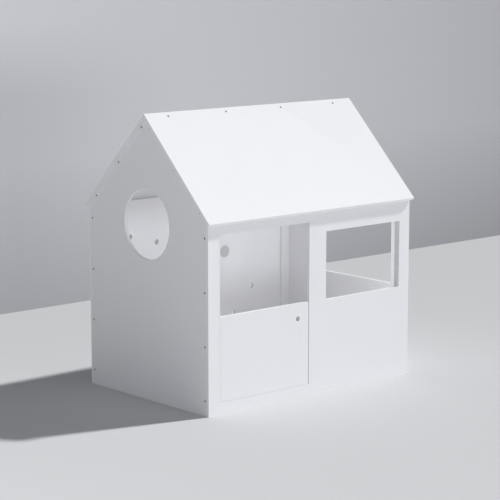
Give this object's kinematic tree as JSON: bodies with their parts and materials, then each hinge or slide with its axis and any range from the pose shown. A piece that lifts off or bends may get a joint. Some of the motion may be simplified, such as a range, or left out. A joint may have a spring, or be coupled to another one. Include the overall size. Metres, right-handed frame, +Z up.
{
  "type": "playhouse",
  "caption": "Pitched-roof children's playhouse of flat white panels screwed to inner cleats, with an inward half door, a front window, a round gable window and a gable opening.",
  "frame": {"origin": "on the ground, under the middle of the house", "axes": "+X to the right along the front, +Y from the front wall to the back wall, +Z up"},
  "size_m": [1.22, 0.8552, 1.2466],
  "materials": {
    "wall_white": "satin white sheet, faintly textured",
    "roof_white": "satin white sheet",
    "door_white": "satin white sheet",
    "cleat_white": "satin white strip",
    "cap_grey": "matt light grey",
    "screw_steel": "zinc-plated",
    "hinge_steel": "zinc-plated"
  },
  "bodies": {
    "house": {"back_wall": "wall_white", "back_wall_cap": "cap_grey", "cleat_corner_back_left": "cleat_white", "cleat_corner_back_right": "cleat_white", "cleat_corner_front_left": "cleat_white", "cleat_corner_front_right": "cleat_white", "cleat_eave_back": "cleat_white", "cleat_eave_front": "cleat_white", "cleat_rake_back_left": "cleat_white", "cleat_rake_back_right": "cleat_white", "cleat_rake_front_left": "cleat_white", "cleat_rake_front_right": "cleat_white", "cleat_ridge": "cleat_white", "cleat_sill_back": "cleat_white", "cleat_sill_front": "cleat_white", "front_wall": "wall_white", "gable_left": "wall_white", "gable_right": "wall_white", "hinge_lower_frame_leaf": "hinge_steel", "hinge_lower_pin": "hinge_steel", "hinge_upper_frame_leaf": "hinge_steel", "hinge_upper_pin": "hinge_steel", "roof_back": "roof_white", "roof_front": "roof_white", "screw_left_back_1": "screw_steel", "screw_left_back_2": "screw_steel", "screw_left_back_3": "screw_steel", "screw_left_back_4": "screw_steel", "screw_left_front_1": "screw_steel", "screw_left_front_2": "screw_steel", "screw_left_front_3": "screw_steel", "screw_left_front_4": "screw_steel", "screw_left_slope_back_1": "screw_steel", "screw_left_slope_back_2": "screw_steel", "screw_left_slope_back_3": "screw_steel", "screw_left_slope_front_1": "screw_steel", "screw_left_slope_front_2": "screw_steel", "screw_left_slope_front_3": "screw_steel", "screw_ridge_1": "screw_steel", "screw_ridge_2": "screw_steel", "screw_ridge_3": "screw_steel", "screw_ridge_4": "screw_steel", "screw_right_back_1": "screw_steel", "screw_right_back_2": "screw_steel", "screw_right_back_3": "screw_steel", "screw_right_back_4": "screw_steel", "screw_right_front_1": "screw_steel", "screw_right_front_2": "screw_steel", "screw_right_front_3": "screw_steel", "screw_right_front_4": "screw_steel", "screw_right_slope_back_1": "screw_steel", "screw_right_slope_back_2": "screw_steel", "screw_right_slope_back_3": "screw_steel", "screw_right_slope_front_1": "screw_steel", "screw_right_slope_front_2": "screw_steel", "screw_right_slope_front_3": "screw_steel"},
    "door": {"half_door": "door_white", "hinge_lower_door_leaf": "hinge_steel", "hinge_upper_door_leaf": "hinge_steel"}
  },
  "joints": [
    {"name": "door_hinge", "type": "hinge", "parent": "house", "child": "door", "pos_m": [-0.5321, -0.3894, 0.2364], "axis": [0, 0, 1], "range_deg": [0, 90]}
  ]
}
